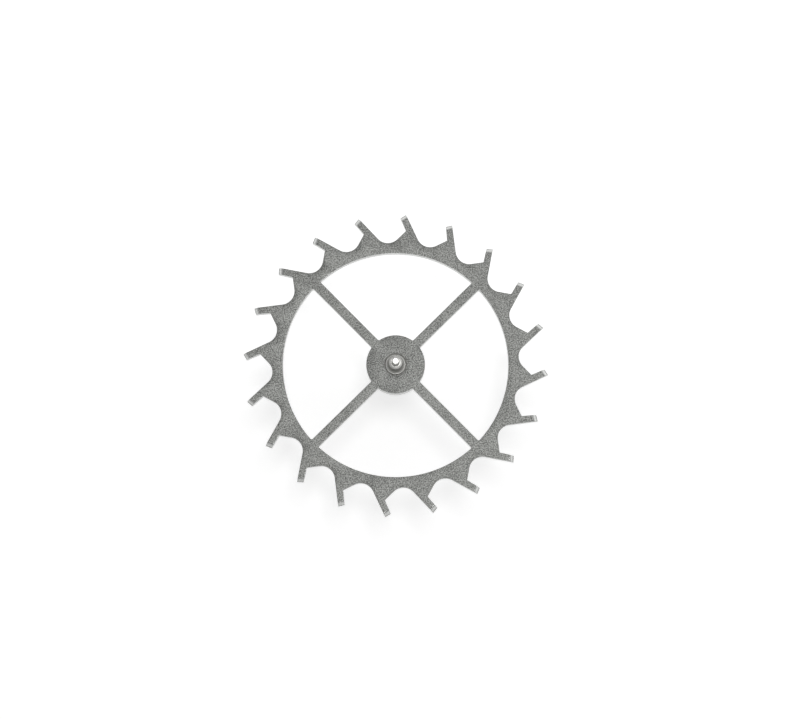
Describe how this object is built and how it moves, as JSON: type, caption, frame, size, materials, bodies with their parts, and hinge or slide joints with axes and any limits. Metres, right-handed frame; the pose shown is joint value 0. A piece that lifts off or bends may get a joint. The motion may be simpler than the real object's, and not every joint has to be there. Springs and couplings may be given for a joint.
{
  "type": "watch escape wheel",
  "caption": "Club-toothed escape wheel of a mechanical watch, with slim arms and a round hub, riveted to a leaved pinion whose arbor ends in fine pivots.",
  "frame": {"origin": "on the arbor's axis, at the end of the lower pivot", "axes": "+Z runs along the arbor to the upper pivot, on the side where the wheel's face is bare; one pair of opposite arms lies at 45 degrees from +X towards +Y, and the other pair square to it"},
  "size_m": [0.0044, 0.0044, 0.0022],
  "materials": {
    "wheel_steel": "matte",
    "pinion_steel": "polished"
  },
  "bodies": {
    "root": {"toothed_wheel": "wheel_steel", "pinion": "pinion_steel"}
  },
  "joints": []
}
